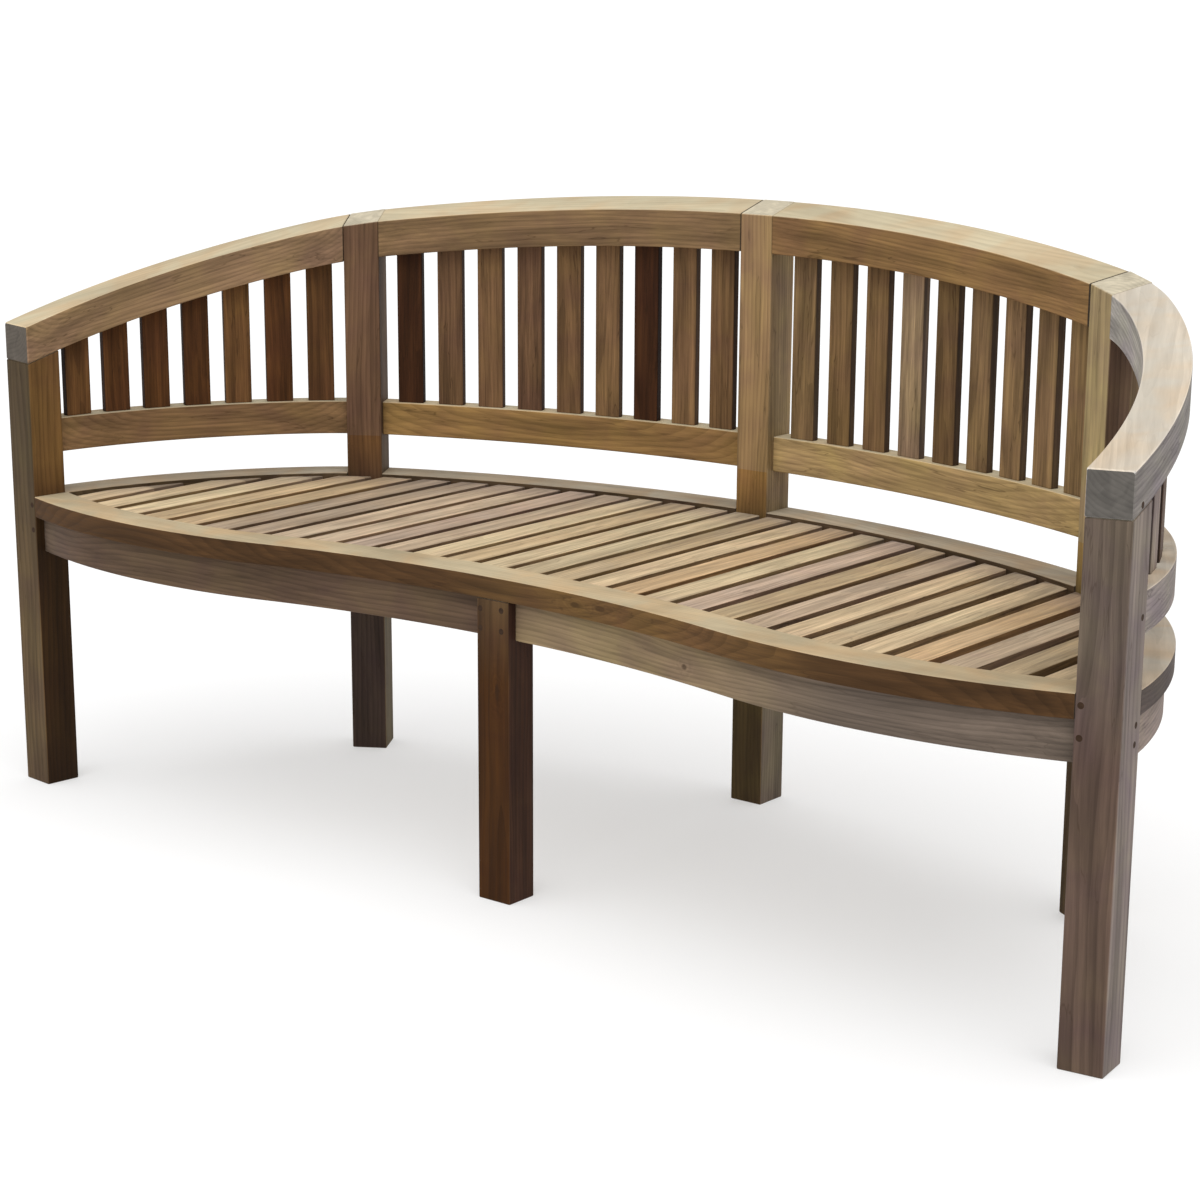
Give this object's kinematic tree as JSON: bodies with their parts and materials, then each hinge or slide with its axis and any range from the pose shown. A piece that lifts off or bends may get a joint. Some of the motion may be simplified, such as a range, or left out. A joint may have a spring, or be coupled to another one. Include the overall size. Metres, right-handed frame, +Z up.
{
  "type": "curved garden bench",
  "caption": "Curved wooden garden bench: an inclined curved top rail over slatted back and arms, and a slatted seat with a wavy front edge.",
  "frame": {"origin": "on the ground, under the middle of the bench's plan", "axes": "+X along the bench to the right as seen from in front, +Y from the front edge of the seat to the back, +Z up"},
  "size_m": [1.8328, 0.6956, 0.8783],
  "materials": {
    "post_teak": "sanded bare teak, lightly weathered",
    "top_rail_teak": "sanded bare teak, lightly weathered",
    "back_panel_teak": "sanded bare teak, lightly weathered",
    "seat_border_teak": "sanded bare teak, lightly weathered",
    "apron_teak": "sanded bare teak, lightly weathered",
    "ledger_teak": "sanded bare teak, lightly weathered",
    "seat_slat_teak": "sanded bare teak, lightly weathered"
  },
  "bodies": {
    "root": {"back_centre_post": "post_teak", "back_left_post": "post_teak", "back_right_post": "post_teak", "centre_stretcher": "ledger_teak", "front_centre_leg": "post_teak", "front_ledger": "ledger_teak", "front_left_post": "post_teak", "front_right_post": "post_teak", "front_seat_border": "seat_border_teak", "left_arm_apron": "apron_teak", "left_arm_ledger": "ledger_teak", "left_arm_panel": "back_panel_teak", "left_arm_rail": "top_rail_teak", "left_arm_seat_border": "seat_border_teak", "left_back_apron": "apron_teak", "left_back_ledger": "ledger_teak", "left_back_panel": "back_panel_teak", "left_back_seat_border": "seat_border_teak", "left_front_apron": "apron_teak", "left_top_rail": "top_rail_teak", "right_arm_apron": "apron_teak", "right_arm_ledger": "ledger_teak", "right_arm_panel": "back_panel_teak", "right_arm_rail": "top_rail_teak", "right_arm_seat_border": "seat_border_teak", "right_back_apron": "apron_teak", "right_back_ledger": "ledger_teak", "right_back_panel": "back_panel_teak", "right_back_seat_border": "seat_border_teak", "right_front_apron": "apron_teak", "right_top_rail": "top_rail_teak", "seat_slat_01": "seat_slat_teak", "seat_slat_02": "seat_slat_teak", "seat_slat_03": "seat_slat_teak", "seat_slat_04": "seat_slat_teak", "seat_slat_05": "seat_slat_teak", "seat_slat_06": "seat_slat_teak", "seat_slat_07": "seat_slat_teak", "seat_slat_08": "seat_slat_teak", "seat_slat_09": "seat_slat_teak", "seat_slat_10": "seat_slat_teak", "seat_slat_11": "seat_slat_teak", "seat_slat_12": "seat_slat_teak", "seat_slat_13": "seat_slat_teak", "seat_slat_14": "seat_slat_teak", "seat_slat_15": "seat_slat_teak", "seat_slat_16": "seat_slat_teak", "seat_slat_17": "seat_slat_teak", "seat_slat_18": "seat_slat_teak", "seat_slat_19": "seat_slat_teak", "seat_slat_20": "seat_slat_teak", "seat_slat_21": "seat_slat_teak", "seat_slat_22": "seat_slat_teak", "seat_slat_23": "seat_slat_teak", "seat_slat_24": "seat_slat_teak", "seat_slat_25": "seat_slat_teak", "seat_slat_26": "seat_slat_teak", "seat_slat_27": "seat_slat_teak", "seat_slat_28": "seat_slat_teak", "seat_slat_29": "seat_slat_teak"}
  },
  "joints": []
}
